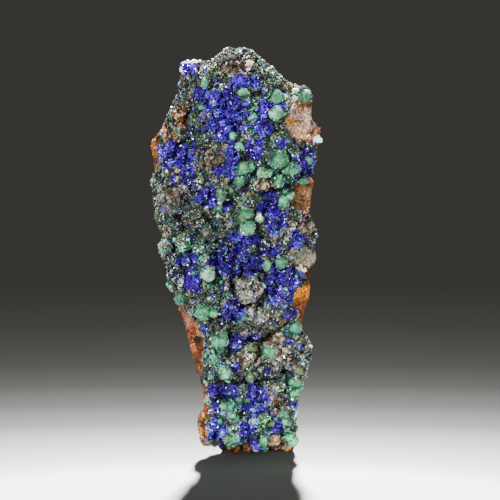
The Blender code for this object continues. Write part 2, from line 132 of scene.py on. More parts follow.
OLIVE_FIELDS = (
    (0.5, 100.0, 6.2, 2.4), (-4.5, 96.5, 2.6, 2.2), (7.5, 96.0, 3.6, 2.6), (12.0, 92.6, 3.0, 1.3),
    (-19.0, 58.0, 1.8, 6.0), (-10.0, 60.5, 3.0, 2.2),
)
FROST_FIELDS = (
    (-12.5, 53.5, 3.0, 1.7), (-8.2, 51.4, 2.1, 2.5), (-18.4, 52.4, 2.2, 2.2), (-2.6, 80.3, 2.4, 1.4),
    (-3.5, 98.6, 1.8, 1.6), (0.0, 101.0, 3.0, 0.9), (6.0, 97.0, 2.2, 1.4), (9.6, 94.4, 2.4, 1.2),
    (5.4, 89.0, 1.7, 1.6), (-17.2, 72.6, 1.4, 1.0), (0.8, 64.8, 2.0, 1.8),
)
# Where fields overlap, the later mineral covers the earlier one.
FIELDS = {
    "olive": OLIVE_FIELDS, "frost": FROST_FIELDS, "grey": GREY_FIELDS, "brown": BROWN_FIELDS,
    "rust": RUST_FIELDS, "green": MALACHITE_FIELDS, "blue": AZURITE_FIELDS,
}
# Partly painted light and shade, partly the minerals' own tone: hollows, ledge undersides and the top are
# darkened
# with painted shade, and the lower part is lightened with painted light, as if lit from the floor.
# Lighter or darker parts of the face: X, Z, half width, half height, factor.
PAINTED_LIGHT_AND_TONE = (
    (1.5, 93.5, 4.5, 2.2, 2.3), (-11.5, 97.0, 2.6, 2.2, 1.5), (-0.5, 49.5, 7.5, 5.0, 0.6),
    (3.0, 42.0, 4.0, 3.0, 1.35), (-10.5, 86.0, 2.0, 3.0, 0.8), (7.0, 63.0, 4.0, 4.0, 0.9),
    (2.0, 29.5, 8.0, 1.6, 0.8), (2.0, 18.6, 8.0, 0.9, 0.75), (5.0, 36.0, 6.0, 3.4, 1.3),
    (11.0, 26.5, 5.0, 5.0, 1.1), (3.0, 25.0, 4.0, 4.0, 0.8), (0.0, 99.5, 6.5, 3.5, 0.62),
    (4.0, 10.0, 16.0, 15.0, 1.3), (-14.5, 75.0, 5.0, 4.0, 1.2), (-6.0, 75.5, 3.4, 3.4, 0.6),
    (-12.0, 61.8, 4.5, 5.0, 0.5), (-6.0, 87.0, 4.5, 5.5, 1.2), (11.0, 44.0, 5.0, 5.5, 0.78),
    (4.0, 33.0, 4.6, 2.0, 0.36), (0.4, 65.0, 2.6, 2.2, 1.7), (13.2, 88.7, 2.4, 2.8, 2.0),
    (0.6, 9.0, 2.6, 2.2, 2.0), (-15.2, 48.6, 3.0, 2.6, 0.5), (-17.0, 65.5, 4.5, 3.2, 0.6),
    (12.2, 12.6, 2.2, 2.2, 0.55), (-3.0, 24.5, 2.0, 2.2, 1.6), (4.0, 79.8, 9.0, 3.4, 1.5),
    (-7.2, 69.2, 2.4, 2.0, 0.65), (4.6, 89.0, 2.4, 2.0, 1.5), (6.0, 53.0, 3.8, 2.0, 0.6),
    (13.3, 5.0, 2.2, 2.2, 1.6), (-7.0, 57.0, 2.2, 1.6, 1.4), (-2.5, 68.5, 2.4, 1.8, 1.4),
    (-10.6, 77.4, 2.8, 2.2, 0.6), (-3.6, 37.2, 2.2, 2.6, 1.6), (0.9, 28.3, 2.8, 1.8, 1.6),
    (5.2, 92.5, 2.2, 1.6, 1.4), (-2.6, 81.4, 2.8, 2.2, 1.3), (5.4, 75.8, 2.6, 2.4, 1.4),
    (12.8, 48.5, 2.8, 2.0, 0.65), (-15.4, 88.3, 2.6, 2.8, 0.6), (8.0, 13.2, 2.2, 2.0, 0.65),
    (12.4, 57.2, 2.4, 2.2, 1.5), (-2.7, 44.4, 2.4, 2.0, 1.4), (-3.0, 96.4, 2.4, 1.8, 0.65),
)

# Clefts between lumps, sunk into the crust and darkened with painted shade: X, Z of one end and of the other.
CLEFTS = (
    (-7.8, 53.8, -2.9, 55.0), (-2.2, 31.3, 6.1, 29.3), (6.1, 29.3, 13.0, 34.3), (-7.8, 19.3, 6.9, 19.3),
    (-5.4, 15.1, 0.7, 15.8), (-1.5, 45.5, 0.5, 38.5), (0.5, 38.5, 5.5, 38.8), (5.5, 38.8, 7.2, 42.5),
    (-8.0, 61.0, -5.0, 58.0), (6.0, 66.5, 10.5, 67.2), (-11.5, 86.5, -12.5, 83.0), (-14.5, 77.0, -12.0, 79.5),
    (7.5, 20.0, 12.0, 21.5), (3.5, 47.3, 7.5, 46.5), (-13.0, 57.5, -15.0, 61.0),
)
# A ball that sits lower than its solid: X, Z, reach, depth.
LOW_SEAT = (-17.4, 52.5, 3.4, 2.4)

# Malachite balls: X, Z, radius, tint.
MINT, TEAL, OLIVE, PALE, DEEP = 0x52A67A, 0x3A8E70, 0x667640, 0x8ABE98, 0x3A9064
BALLS = (
    (-7.8, 93.2, 1.3, TEAL), (1.7, 91.2, 1.3, MINT), (9.6, 89.9, 1.6, MINT), (16.3, 89.9, 1.7, MINT),
    (13.9, 90.5, 1.4, PALE), (9.3, 86.2, 1.8, PALE), (11.0, 85.7, 1.0, MINT), (4.2, 85.5, 1.0, MINT),
    (-8.6, 87.2, 0.9, TEAL), (-1.0, 80.5, 1.0, MINT), (0.7, 78.0, 1.3, MINT), (10.0, 75.0, 2.3, DEEP),
    (13.2, 72.7, 2.1, MINT), (1.2, 73.0, 1.6, MINT), (3.2, 73.0, 1.3, MINT), (6.9, 71.7, 1.8, PALE),
    (10.0, 69.5, 1.8, MINT), (0.7, 69.7, 1.3, DEEP), (-3.7, 66.7, 1.6, DEEP), (-1.2, 67.0, 1.0, MINT),
    (16.2, 69.2, 1.3, DEEP), (17.4, 74.2, 1.0, DEEP), (11.8, 66.7, 1.0, DEEP), (11.5, 64.2, 1.3, MINT),
    (13.2, 65.4, 1.5, PALE), (-7.6, 64.5, 0.8, TEAL), (-4.4, 63.0, 1.3, TEAL), (2.2, 62.0, 1.8, DEEP),
    (1.5, 60.5, 1.6, OLIVE), (2.7, 58.3, 1.8, MINT), (5.4, 60.8, 1.6, PALE), (-2.0, 61.3, 0.8, PALE),
    (10.5, 56.8, 1.0, PALE), (-7.1, 46.8, 1.8, PALE), (7.3, 49.0, 1.3, PALE), (10.8, 49.3, 1.6, MINT),
    (-13.5, 40.0, 1.6, TEAL), (-8.3, 37.3, 2.1, DEEP), (-5.9, 36.8, 1.3, MINT), (1.7, 35.8, 1.0, TEAL),
    (-4.2, 30.7, 2.0, MINT), (-5.6, 25.4, 1.5, MINT), (-7.6, 25.8, 1.0, DEEP), (-2.9, 22.6, 1.6, MINT),
    (-6.2, 21.0, 1.0, TEAL), (3.6, 28.2, 1.2, OLIVE), (3.3, 21.2, 1.2, OLIVE), (8.0, 27.2, 1.6, DEEP),
    (14.3, 32.6, 1.6, TEAL), (15.4, 22.6, 1.1, OLIVE), (14.5, 18.9, 1.7, DEEP), (14.2, 15.9, 1.2, MINT),
    (-7.2, 14.8, 1.2, MINT), (-2.6, 14.1, 1.5, MINT), (-1.4, 12.3, 1.4, MINT), (-0.5, 10.1, 1.3, DEEP),
    (0.7, 15.3, 1.3, MINT), (2.2, 14.8, 1.0, DEEP), (6.2, 10.9, 1.1, OLIVE), (11.5, 10.9, 1.3, TEAL),
    (12.4, 9.0, 1.3, PALE), (8.4, 8.7, 1.2, OLIVE), (13.4, 4.8, 1.8, MINT), (-1.2, 5.9, 1.8, MINT),
    (0.2, 4.2, 1.0, DEEP), (6.6, 4.4, 1.3, MINT), (-4.2, 9.6, 1.0, DEEP),
)

# Bare rock: X, Z, half width, half height, tint.
ROCK_PATCHES = (
    (15.5, 84.0, 3.8, 5.8, 0xDCC4BC), (15.0, 88.0, 3.4, 1.7, 0xCC8A34), (12.8, 83.4, 1.9, 0.9, 0xCC9438),
    (15.0, 80.5, 1.3, 0.6, 0xD09A48), (15.4, 83.4, 1.1, 0.6, 0x94602E), (13.6, 85.9, 1.2, 1.4, 0xC4B4CC),
    (18.0, 81.9, 1.3, 0.5, 0xB8A0C8), (19.6, 80.6, 1.2, 0.5, 0xD49464), (17.5, 79.3, 3.0, 0.9, 0xCCA88C),
    (-20.3, 76.0, 1.6, 5.0, 0xA0652C), (-17.5, 81.5, 2.6, 1.6, 0xC09058),
    (16.5, 64.0, 3.0, 4.6, 0x8A6C4E), (16.6, 49.5, 4.0, 2.2, 0x98A094), (16.0, 40.7, 2.8, 2.6, 0xF0A428),
    (16.2, 36.0, 1.5, 3.6, 0x6A3A26), (-12.5, 33.0, 3.6, 9.0, 0x784A34),
    (-11.3, 31.6, 0.8, 2.0, 0xA0502A), (-9.4, 33.0, 0.8, 3.0, 0xB0803C),
    (-12.3, 33.8, 0.9, 2.2, 0x967870), (-10.6, 27.5, 0.8, 2.0, 0xA05A34),
    (-8.5, 16.0, 1.5, 5.0, 0x85552E), (-8.2, 7.4, 1.8, 3.2, 0xC08634), (3.2, 2.2, 2.6, 1.6, 0xC47A28),
    (9.6, 3.0, 2.4, 2.4, 0xC0906A),
)
# Loose bits set in the surface: X, Z, width, height, tint.
CHIPS = (
    (2.8, 97.4, 1.7, 2.2, 0xC9ADA2), (19.4, 78.9, 1.9, 1.6, 0xC4DCDC), (14.3, 9.2, 0.9, 2.8, 0xC8DAE6),
    (5.4, 60.8, 1.3, 1.6, 0xB6C8B4), (10.6, 57.0, 1.2, 0.9, 0xBFDCCB), (-7.8, 92.8, 1.0, 0.8, 0x9AD2CE),
    (-6.6, 16.2, 0.7, 1.3, 0xCFE2DC), (0.8, 15.6, 1.0, 0.9, 0xD2D8F0), (15.5, 46.8, 2.6, 1.2, 0xB3A79E),
    (-4.0, 64.6, 1.0, 0.6, 0x9CC9C4),
)

# The pale rim of the knob at the upper left, pale crystals and in part a painted highlight on its edge: X, Z.
RIM = (
    (-13.2, 95.8), (-13.1, 96.6), (-12.8, 97.3), (-12.2, 97.8), (-11.4, 98.1), (-10.6, 98.2),
    (-9.8, 98.2), (-9.0, 98.1),
)
RIM_CHIP, RIM_TINT = (0.9, 0.6), 0xDCDCF4
BLOCKS_PER_CHIP = 5

# Knobs of grains beyond the edge of the crust: X, Z, half width, half height, palette.
KNOBS = (
    (4.4, 3.2, 1.6, 1.7, "blue"), (6.6, 1.7, 0.9, 1.1, "green"), (12.0, 1.6, 1.4, 1.1, "tan"),
    (3.0, 2.4, 1.0, 0.9, "ochre"), (8.8, 4.4, 1.7, 1.2, "tan"), (-8.2, 7.6, 1.4, 3.6, "ochre"),
    (-7.6, 4.4, 1.3, 1.7, "ochre"), (-5.6, 4.0, 1.5, 1.3, "dark"), (-4.0, 3.2, 1.1, 1.0, "blue"),
    (-1.6, 2.8, 1.0, 1.0, "green"), (9.4, 2.2, 1.2, 1.0, "tan"),
)

# ---------------------------------------------------------------- colours
# The limonite's own colours, and the copper stains on its back.
RUST, DARK_RUST, LIGHT_RUST, OCHRE, UMBER = 0x5C361A, 0x42200F, 0x744720, 0x9C6420, 0x22150D
GREEN_STAIN, BLUE_STAIN = 0x2C6A4C, 0x261C6C
# Palettes of the grains: tint and share.
PALETTES = {
    "dark": (
        (0x121918, 1.8), (0x212D2A, 4.4), (0x34453E, 4.4), (0x4C5F4A, 4), (0x6C826C, 2.2), (0x96A892, 0.9),
        (0xC4D0BE, 0.25), (0x443828, 2.8), (0x1C5444, 1.6), (0x2A2250, 1.4), (0x62482E, 1.1), (0x706A56, 1.8),
        (0x3A6276, 1.4),
    ),
    "brown": (
        (0x1C1814, 3), (0x42382C, 4), (0x665644, 4), (0x867A6E, 3), (0x7E562F, 1.4), (0x30463A, 2),
        (0xA29484, 1.0), (0xC8BEB0, 0.25), (0x4E8470, 1.2),
    ),
    "rust": (
        (0x2A2014, 3), (0x8C5326, 3), (0xC07A34, 3), (0x3E5242, 2), (0xD8A878, 2), (0xE2C6A0, 0.6),
    ),
    "ochre": ((0x4E2A12, 2), (0x7C4C1E, 4), (0xA06A28, 3), (0x34200F, 2), (0xC08A48, 0.7)),
    "tan": ((0x4A3424, 2), (0x8A6A4C, 3), (0xB08A66, 3), (0xC8823A, 1.5), (0xD8BC9C, 1), (0x5C7A68, 1)),
    "olive": (
        (0x1C2016, 3), (0x3E4230, 3.5), (0x5A604A, 3), (0x76806A, 3), (0x98A48C, 1.6), (0xC4C8B4, 0.5),
        (0x42664C, 2.4), (0x68441F, 1.6), (0x649478, 1),
    ),
    "frost": (
        (0x1C2A20, 2.4), (0x40604E, 3), (0x668A72, 3), (0x8AAE94, 2.4), (0xB4CAB4, 0.8), (0x868068, 1.6),
        (0x2E2A5C, 0.7), (0x4E3E2C, 1),
    ),
    "grey": (
        (0x2E3030, 2), (0x484A48, 3), (0x666864, 4), (0x82847C, 4), (0x9C9C92, 2.2), (0xC4C6BA, 0.25),
        (0x466054, 1), (0x7C6C58, 3),
    ),
    "green": (
        (0x183F2E, 3), (0x2A6648, 4), (0x4C926E, 4), (0x80BE98, 2), (0x141F1C, 2), (0xC2E0D2, 0.5),
        (0x2A1C70, 1), (0x5E6054, 2), (0x3A7086, 1.4),
    ),
    "blue": (
        (0x12022A, 2.4), (0x22045C, 5), (0x34048A, 6), (0x4408AE, 3.2), (0x22068A, 3), (0x5A30C8, 0.5),
        (0xA8A4E8, 0.1), (0x14586A, 0.9), (0x5E6A78, 1.4),
    ),
}
BEADS = ((0x4A9E7E, 4), (0x2C7860, 4), (0x66B49C, 2), (0x7AB6BE, 0.8), (0x94C8AC, 0.8))
# The crust between the grains of each field, and under the balls.
# Their darkness is partly the crust's own and partly painted shade for the gaps between the grains.
GROUND = {
    "dark": 0x182220, "olive": 0x26241A, "frost": 0x1E2E26, "grey": 0x2C2E2B, "brown": 0x2A2119,
    "rust": 0x543820, "green": 0x1A4232, "blue": 0x170540,
}
BALL_GROUND = 0x1A5A40


def linear(hex_colour):
    """An sRGB hex colour as linear red, green, blue and alpha."""
    channels = [((hex_colour >> shift) & 255) / 255.0 for shift in (16, 8, 0)]
    return (*(c / 12.92 if c <= 0.04045 else ((c + 0.055) / 1.055) ** 2.4 for c in channels), 1.0)


# ---------------------------------------------------------------- meshes
def object_from(name, points, faces, tints):
    """A mesh object from points in mm, triangles and a linear colour for each point."""
    mesh = bpy.data.meshes.new(name)
    mesh.from_pydata((np.asarray(points) * MM).tolist(), [], np.asarray(faces).tolist())
    paint(mesh, tints)
    made = bpy.data.objects.new(name, mesh)
    bpy.context.scene.collection.objects.link(made)
    return made


def paint(mesh, tints):
    """Stores a linear colour for each point."""
    layer = mesh.color_attributes.new("tint", "FLOAT_COLOR", "POINT")
    layer.data.foreach_set("color", np.asarray(tints, np.float32).ravel())


def vectors_of(items, attribute):
    """A vector for each of a mesh's items."""
    flat = np.empty(len(items) * 3, np.float32)
    items.foreach_get(attribute, flat)
    return flat.reshape(-1, 3).astype(float)


def points_of(mesh):
    """Where the points of a mesh are, in mm."""
    return vectors_of(mesh.vertices, "co") / MM


def normals_of(mesh):
    """Which way is outwards at each point of a mesh."""
    return vectors_of(mesh.vertex_normals, "vector")


def move_points(body, points):
    """Moves the points of a body to these places in mm."""
    body.data.vertices.foreach_set("co", (points * MM).astype(np.float32).ravel())
    body.data.update()


def fine_copy(node, name, cell):
    """A copy of a solid of the frame, meshed evenly with cells of this size."""
    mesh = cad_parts[node].data.copy()
    joined = bmesh.new()
    joined.from_mesh(mesh)
    bmesh.ops.remove_doubles(joined, verts=joined.verts, dist=1e-6)
    joined.to_mesh(mesh)
    joined.free()
    body = bpy.data.objects.new(name, mesh)
    bpy.context.scene.collection.objects.link(body)
    cells = body.modifiers.new("fine cells", "REMESH")
    cells.mode = "VOXEL"
    cells.voxel_size = cell * MM
    bpy.context.view_layer.update()
    graph = bpy.context.evaluated_depsgraph_get()
    fine = bpy.data.meshes.new_from_object(body.evaluated_get(graph))
    body.modifiers.clear()
    body.data = fine
    fine.materials.clear()
    for layer in list(fine.color_attributes):
        fine.color_attributes.remove(layer)
    return body


def fractal(points, size, octaves=3, shift=0.0):
    """Smooth noise of about -1 to 1 with lumps of this size; each shift gives another pattern."""
    places = (points + shift).tolist()
    return np.array([noise.fractal(Vector(p) / size, 0.8, 2.1, octaves) for p in places])


def spots_near(points, size):
    """Distance to the nearest and to the second nearest of scattered spots, as shares of their spacing."""
    return np.array([noise.voronoi(Vector(p) / size)[0][:2] for p in points.tolist()])


def reach(points, field):
    """0 in the middle of an ellipse on the face, 1 on its edge."""
    x, z, half_width, half_height = field[:4]
    return ((points[:, 0] - x) / half_width) ** 2 + ((points[:, 2] - z) / half_height) ** 2


def fading(distance):
    """1 near the middle of something, 0 a little past the distance of 1."""
    return np.clip(1.3 - distance, 0, 1)


def shades(points):
    """Lighter or darker factor at each point of the face: partly its own tone, partly painted light and
    shade.
    """
    factor = 1.0 + 0.25 * fractal(points, 4.5, shift=9.0)
    for field in PAINTED_LIGHT_AND_TONE:
        factor = factor * (1.0 + (field[4] - 1.0) * fading(reach(points, field)))
    # Painted shade: the clefts are darkened.
    return factor * (1.0 - 0.8 * clefts(points))


def clefts(points):
    """1 in the middle of a cleft, 0 beside it."""
    wander = points + 0.5 * fractal(points, 1.6, shift=50.0)[:, None]
    near = np.full(len(points), 9.0)
    for x, z, x_end, z_end in CLEFTS:
        along = np.array([x_end - x, z_end - z])
        share = np.clip(((wander[:, [0, 2]] - (x, z)) @ along) / (along @ along), 0, 1)
        apart = wander[:, [0, 2]] - (x, z) - share[:, None] * along
        near = np.minimum(near, np.linalg.norm(apart, axis=1))
    return fading(near / CLEFT_WIDTH)


def seated(points):
    """Moves the high ball at the left edge back towards the crust."""
    x, z, wide, depth = LOW_SEAT
    near = np.clip(1.0 - np.hypot(points[:, 0] - x, points[:, 2] - z) / wide, 0, 1)
    ahead_of_crust = np.clip((-4.5 - points[:, 1]) / 1.5, 0, 1)
    moved = points.copy()
    moved[:, 1] += depth * np.clip(near * 2.0, 0, 1) * ahead_of_crust
    return moved


def unit(vectors):
    """The vectors with a length of 1."""
    return vectors / np.maximum(np.linalg.norm(vectors, axis=1, keepdims=True), 1e-9)


def blended(tints, mask, hex_colour):
    """Moves linear colours towards a hex colour by a mask of 0 to 1."""
    return tints + (np.array(linear(hex_colour)) - tints) * np.clip(mask, 0, 1)[:, None]


# ---------------------------------------------------------------- crystal shapes
# Triangles of the four sides between corners 0 to 3 and the corners 4 to 7 above them.
SIDES = ((0, 1, 5), (0, 5, 4), (1, 2, 6), (1, 6, 5), (2, 3, 7), (2, 7, 6), (3, 0, 4), (3, 4, 7))


def blade_shape():
    """A tabular crystal with a chisel end, about 1 long, with its lower third below Z = 0."""
    low = [(-0.5, -0.5, -0.35), (0.5, -0.5, -0.35), (0.5, 0.5, -0.35), (-0.5, 0.5, -0.35)]
    high = [(-0.5, -0.5, 0.5), (0.5, -0.5, 0.5), (0.5, 0.5, 0.5), (-0.5, 0.5, 0.5)]
    ridge = [(-0.22, 0.0, 0.72), (0.22, 0.0, 0.72)]
    chisel = [(4, 5, 9), (4, 9, 8), (5, 6, 9), (6, 7, 8), (6, 8, 9), (7, 4, 8)]
    return np.array(low + high + ridge), np.array([*SIDES, *chisel])


def grain_shape():
    """A blocky grain with six corners and flat faces."""
    girdle = [(0.55, 0.1, 0.1), (0.05, 0.5, 0.0), (-0.5, 0.15, 0.12), (-0.1, -0.55, 0.05)]
    points = [(0, 0, 0.6), *girdle, (0, 0, -0.5)]
    faces = [(0, 1, 2), (0, 2, 3), (0, 3, 4), (0, 4, 1), (5, 2, 1), (5, 3, 2), (5, 4, 3), (5, 1, 4)]
    return np.array(points), np.array(faces)


def block_shape():
    """A skewed six-sided block without its hidden underside."""
    points = []
    for z in (-0.45, 0.45):
        for x, y in ((-0.5, -0.4), (0.4, -0.5), (0.5, 0.4), (-0.4, 0.5)):
            points.append((x + 0.25 * z, y - 0.2 * z, z))
    return np.array(points), np.array([*SIDES, (4, 5, 6), (4, 6, 7)])


def ball_shape(fineness):
    """A ball of radius 1 made of triangles, each fineness with four times as many."""
    mesh = bmesh.new()
    bmesh.ops.create_icosphere(mesh, subdivisions=fineness, radius=1.0)
    points = np.array([vertex.co[:] for vertex in mesh.verts])
    faces = np.array([[vertex.index for vertex in face.verts] for face in mesh.faces])
    mesh.free()
    return points, faces


# ---------------------------------------------------------------- many small crystals in one mesh
def lot_of(points, size):
    """A chance value for each point, the same all over a lump of this size."""
    # The factor takes each lump's own spot to a noise cell of its own.
    return np.array([noise.cell(noise.voronoi(Vector(p) / size)[1][0] * 37.0) for p in points.tolist()])


def choose(palette, spots, pick, own=0.2, spread=0.34):
    """A linear colour of the palette for each spot, with the grain's gloss as its alpha.

    The grains of a lump tend to share a colour. Own is how much of the choice is each grain's own, and spread
    is how far its brightness strays.
    """
    lumps = 0.6 * lot_of(wandering(spots), ROSETTE) + 0.4 * lot_of(spots + LUMP_SHIFT, LUMP)
    lot = (1.0 - own) * lumps + own * pick.random(len(spots))
    rank = np.empty(len(spots))
    rank[np.argsort(lot)] = (np.arange(len(spots)) + 0.5) / max(len(spots), 1)
    order = pick.permutation(len(palette))
    edges = np.cumsum(np.array([palette[k][1] for k in order], float))
    chosen = np.array([linear(palette[k][0]) for k in order])[np.searchsorted(edges / edges[-1], rank)]
    chosen[:, :3] *= np.exp(pick.normal(0.0, spread, (len(spots), 1)))
    chosen[:, 3] = pick.random(len(spots))
    return chosen


def grown(name, shape, places, outwards, sizes, tints, pick, lean=0.8):
    """One mesh of many copies of a shape, each turned at random and leaning from its outward direction."""
    corners, faces = shape
    count = len(places)
    # Each copy gets its own three directions.
    up = unit(outwards + lean * unit(pick.normal(size=(count, 3))))
    side = unit(np.cross(up, unit(pick.normal(size=(count, 3)))))
    across = np.cross(up, side)
    scaled = corners[None, :, :] * sizes[:, None, :]
    points = places[:, None, :] + scaled[..., :1] * side[:, None] + scaled[..., 1:2] * across[:, None]
    points = points + scaled[..., 2:] * up[:, None]
    # Copies of like colour lie side by side on the OFBake map.
    order = np.argsort(tints[:, :3].sum(1))
    points, tints = points[order], tints[order]
    many = (faces[None] + (np.arange(count) * len(corners))[:, None, None]).reshape(-1, 3)
    made = object_from(name, points.reshape(-1, 3), many, np.repeat(tints, len(corners), axis=0))
    own_map(made.data, count, len(faces))
    return made


def own_map(mesh, count, faces_each):
    """The map that the export bakes on, which it knows by its name: each crystal has a square of its own."""
    rows = math.ceil(math.sqrt(count))
    index = np.arange(count)
    corner = np.stack([index % rows, index // rows], 1)[:, None, :]
    triangle = np.array([(0.15, 0.15), (0.85, 0.15), (0.5, 0.85)])[None]
    squares = (corner + triangle) / rows
    layer = mesh.uv_layers.new(name="OFBake")
    layer.data.foreach_set("uv", np.repeat(squares, faces_each, axis=0).astype(np.float32).ravel())


class Surface:
    """A solid to grow on."""

    def __init__(self, body):
        self.points = points_of(body.data)
        body.data.calc_loop_triangles()
        corners = np.empty(len(body.data.loop_triangles) * 3, np.int32)
        body.data.loop_triangles.foreach_get("vertices", corners)
        self.corners = corners.reshape(-1, 3)
        self.tree = BVHTree.FromPolygons(self.points.tolist(), self.corners.tolist())

    def scatter(self, gap, pick, allowed):
        """Spots about this far apart with their outward directions, on the triangles that are allowed.

        Three times as many spots are thrown as there are cells of this size, and each cell keeps its first.
        """
        a, b, c = (self.points[self.corners[:, k]] for k in range(3))
        turned = np.cross(b - a, c - a)
        area = np.linalg.norm(turned, axis=1) * 0.5
        area = area * allowed((a + b + c) / 3.0, unit(turned))
        count = int(3.0 * area.sum() / gap ** 2)
        chosen = pick.choice(len(area), count, p=area / area.sum())
        u, v = pick.random((2, count, 1))
        flip = u + v > 1
        u, v = np.where(flip, 1 - u, u), np.where(flip, 1 - v, v)
        spots = a[chosen] + u * (b - a)[chosen] + v * (c - a)[chosen]
        row = 4096  # more cells than the specimen is wide, deep or tall
        cell = np.floor(spots / gap).astype(np.int64) + row // 4
        _, first = np.unique(cell @ np.array([1, row, row * row]), return_index=True)
        return spots[first], unit(turned[chosen][first])

    def face_at(self, x, z):
        """The point found by looking at the face from the front."""
        hit = self.tree.ray_cast(Vector((x, -60.0, z)), Vector((0, 1, 0)))[0]
        return None if hit is None else np.array(hit)


# ---------------------------------------------------------------- materials
# A Mix node's two colours and its result, and the settings that make it multiply them.
FIRST, SECOND, MIXED = 6, 7, 2
MULTIPLY = {"data_type": "RGBA", "blend_type": "MULTIPLY", "Factor": 1.0}


def set_values(node, **settings):
    """Sets a node's options, and its sockets by their names with _ for a space."""
    for name, value in settings.items():
        if name in node.bl_rna.properties:
            setattr(node, name, value)
        else:
            node.inputs[name.replace("_", " ")].default_value = value


def add(tree, kind, links, stops=(), **settings):
    """Adds a node. Links gives the socket that feeds each input; stops are a ramp's places and colours."""
    made = tree.nodes.new(kind)
    set_values(made, **settings)
    elements = made.color_ramp.elements if stops else ()
    while len(elements) < len(stops):
        elements.new(0.5)
    for element, (place, tint) in zip(elements, stops):
        element.position = place
        element.color = linear(tint)
    for name, socket in links.items():
        tree.links.new(socket, made.inputs[name])
    return made


def new_material(name):
    """An empty material, its node tree and its shader."""
    made = bpy.data.materials.new(name)
    made.use_nodes = True
    shader = made.node_tree.nodes["Principled BSDF"]
    return made, made.node_tree, shader


def per_metre(size_mm):
    """Scale of a pattern whose features are this many millimetres across."""
    return 1.0 / (size_mm * MM)


def grain_material(name, smoothest, roughest, refraction, reflection):
    """Each grain has its own tint, and a roughness between these two that its alpha chooses."""
    made, tree, shader = new_material(name)
    tint = add(tree, "ShaderNodeAttribute", {}, attribute_name="tint")
    alpha = tint.outputs["Alpha"]
    gloss = add(tree, "ShaderNodeMapRange", {"Value": alpha}, To_Min=smoothest, To_Max=roughest)
    tree.links.new(tint.outputs["Color"], shader.inputs["Base Color"])
    tree.links.new(gloss.outputs["Result"], shader.inputs["Roughness"])
    set_values(shader, IOR=refraction, Specular_IOR_Level=reflection)
    return made


def azurite():
    """Azurite, a copper carbonate grown as small blades in open space.

    Its flat faces are glassy, so its deep violet blue is broken by sharp white glints.
    """
    return grain_material("azurite", smoothest=0.1, roughest=0.34, refraction=1.73, reflection=0.27)


def druse():
    """Druse, a fine coat of tiny crystals grown over the crust: glassy to waxy, so it glitters in specks."""
    return grain_material("druse", smoothest=0.12, roughest=0.5, refraction=1.6, reflection=0.4)


def limonite_dust():
    """Crumbs of limonite broken from the rock: earthy, so they show no glint at all."""
    return grain_material("limonite_dust", smoothest=0.8, roughest=0.95, refraction=1.5, reflection=0.1)


def textured(name, layers, dent, dent_depth, **finish):
    """A mineral that takes its tint from the mesh, with patterns that shade it.

    Each layer is a kind of pattern, its output, the size of its features, its settings and its shades. The
    first one also dents the surface, this strongly and this deep.
    """
    made, tree, shader = new_material(name)
    colour = add(tree, "ShaderNodeAttribute", {}, attribute_name="tint").outputs["Color"]
    place = add(tree, "ShaderNodeTexCoord", {}).outputs["Object"]
    drawn = []
    for kind, output, size, settings, stops in layers:
        pattern = add(tree, kind, {"Vector": place}, Scale=per_metre(size), **settings)
        drawn.append(pattern.outputs[output])
        shade = add(tree, "ShaderNodeValToRGB", {"Fac": drawn[-1]}, stops)
        mixed = add(tree, "ShaderNodeMix", {FIRST: colour, SECOND: shade.outputs["Color"]}, **MULTIPLY)
        colour = mixed.outputs[MIXED]
    bump = add(tree, "ShaderNodeBump", {"Height": drawn[0]}, Strength=dent, Distance=dent_depth * MM)
    tree.links.new(colour, shader.inputs["Base Color"])
    tree.links.new(bump.outputs["Normal"], shader.inputs["Normal"])
    set_values(shader, **finish)
    return made


def crust_ground():
    """The crust between its crystals, grown of the same minerals but too fine to tell apart.

    It is dull and dark, so that the crystals stand out from it; the dark is partly painted shade for the gaps
    between them.
    """
    grain_width = 0.45  # real grains are about 0.1, drawn coarser so that they show
    shades_of_grain = ((0.0, 0xFFFFFF), (0.7, 0x8A8A8A))
    layers = [("ShaderNodeTexVoronoi", "Distance", grain_width, {}, shades_of_grain)]
    return textured(
        "crust_ground", layers, dent=0.8, dent_depth=0.2, Roughness=0.5, Specular_IOR_Level=0.2)


def malachite():
    """Malachite, a copper carbonate grown as balls of fine fibres that end at the surface.

    The fibre ends make it silky and a little mottled: it has a soft sheen and no sharp glint.
    """
    fibre_bunch = 0.35  # single fibres are under 0.05, so bunches of them are drawn
    mottle = 1.3
    layers = [
        ("ShaderNodeTexNoise", "Fac", fibre_bunch, {"Detail": 3.0}, ((0.34, 0x8CB4A0), (0.6, 0xFFFFFF))),
        ("ShaderNodeTexNoise", "Fac", mottle, {"Detail": 3.0}, ((0.32, 0x6FA088), (0.62, 0xFFFFFF))),
    ]
    return textured(
        "malachite", layers, dent=0.5, dent_depth=0.15, Roughness=0.45, IOR=1.65, Specular_IOR_Level=0.3)


def limonite():
    """Limonite, iron oxide left by weathering and then broken: earthy, pitted and gritty.

    It has no shine, and goes from ochre to red-brown in stains with soft edges.
    """
    grit_width = 0.5  # the coarse end of real grit, because grains of 0.1 wouldn't show
    stain_width = 4.0
    dusty = ((0.32, 0x5E5048), (0.5, 0xD8D0C8), (0.68, 0xFFFFFF))
    stained = ((0.34, 0x6A4A38), (0.5, 0xE0D4C8), (0.7, 0xFFF2DC))
    layers = [
        ("ShaderNodeTexNoise", "Fac", grit_width, {"Detail": 4.0}, dusty),
        ("ShaderNodeTexNoise", "Fac", stain_width, {"Detail": 5.0}, stained),
    ]
    return textured(
        "limonite", layers, dent=1.0, dent_depth=0.35, Roughness=0.85, Specular_IOR_Level=0.2)


# ---------------------------------------------------------------- pieces
def keep(piece, material, node=CRUST, smooth=False):
    """Gives a piece its finish, hangs it from the root and hides the solid that it stands for, the crust's
    unless another is named.
    """
    piece.data.materials.append(material)
    piece.data.polygons.foreach_set("use_smooth", [smooth] * len(piece.data.polygons))
    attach(piece, "root")
    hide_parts(node)
    return piece


